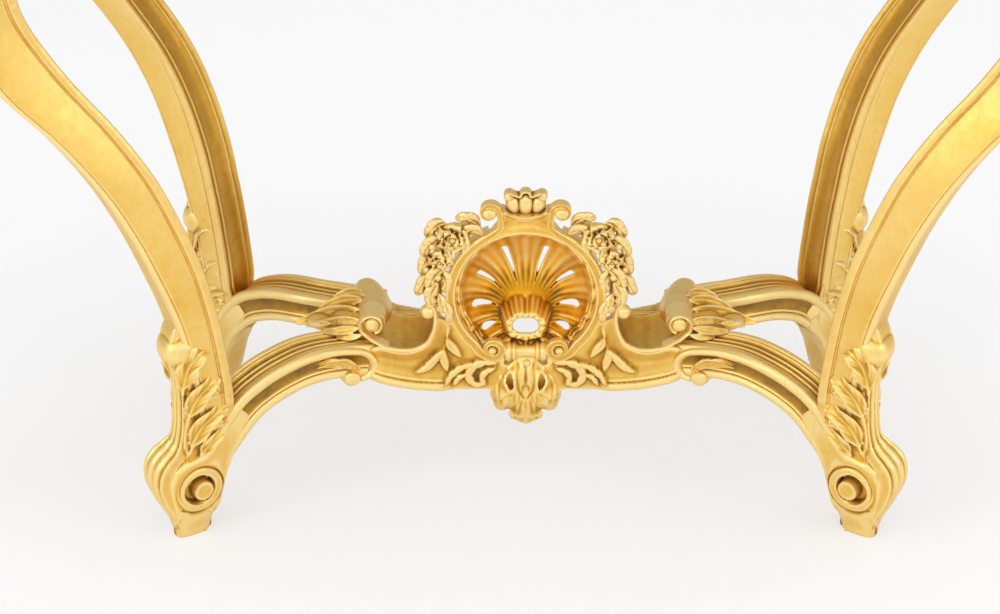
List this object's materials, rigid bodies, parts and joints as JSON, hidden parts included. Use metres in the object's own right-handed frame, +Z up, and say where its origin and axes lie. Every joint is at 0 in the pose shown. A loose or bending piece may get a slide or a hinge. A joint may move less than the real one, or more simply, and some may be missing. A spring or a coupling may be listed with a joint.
{
  "type": "console table",
  "caption": "Console table on curved gilt legs with an arched stretcher, a pierced shell cartouche and a marble top.",
  "frame": {"origin": "on the floor at the middle of the table's plan", "axes": "+Z up, +X along the table's length to the right, -Y towards the front, where the cartouche is"},
  "size_m": [1.24, 0.54, 0.81],
  "materials": {
    "giltwood": "water-gilded carved wood, satin, worn in places",
    "marble": "polished marble with soft grey veins",
    "beech": "bare beech",
    "pine": "bare pine"
  },
  "bodies": {
    "root": {"apron_rail_back": "giltwood", "apron_rail_front": "giltwood", "apron_rail_left": "giltwood", "apron_rail_right": "giltwood", "arm_tenons": "beech", "bridge_left": "giltwood", "bridge_right": "giltwood", "bridge_tenon": "beech", "cartouche_crest": "giltwood", "cartouche_pegs": "beech", "cartouche_scroll_left": "giltwood", "cartouche_scroll_right": "giltwood", "cartouche_shell": "giltwood", "cartouche_spool": "giltwood", "corner_brace_back_left": "pine", "corner_brace_back_right": "pine", "corner_brace_front_left": "pine", "corner_brace_front_right": "pine", "garland_left": "giltwood", "garland_right": "giltwood", "junction_leaf_left": "giltwood", "junction_leaf_right": "giltwood", "junction_volute_left": "giltwood", "junction_volute_right": "giltwood", "leg_back_left": "giltwood", "leg_back_right": "giltwood", "leg_bracket_back_left": "giltwood", "leg_bracket_back_right": "giltwood", "leg_bracket_front_left": "giltwood", "leg_bracket_front_right": "giltwood", "leg_front_left": "giltwood", "leg_front_right": "giltwood", "leg_tenons": "beech", "marble_top": "marble", "pendant_leaf": "giltwood", "rolled_edge_left": "giltwood", "rolled_edge_right": "giltwood", "stretcher_arm_back_left": "giltwood", "stretcher_arm_back_right": "giltwood", "stretcher_arm_front_left": "giltwood", "stretcher_arm_front_right": "giltwood"}
  },
  "joints": []
}
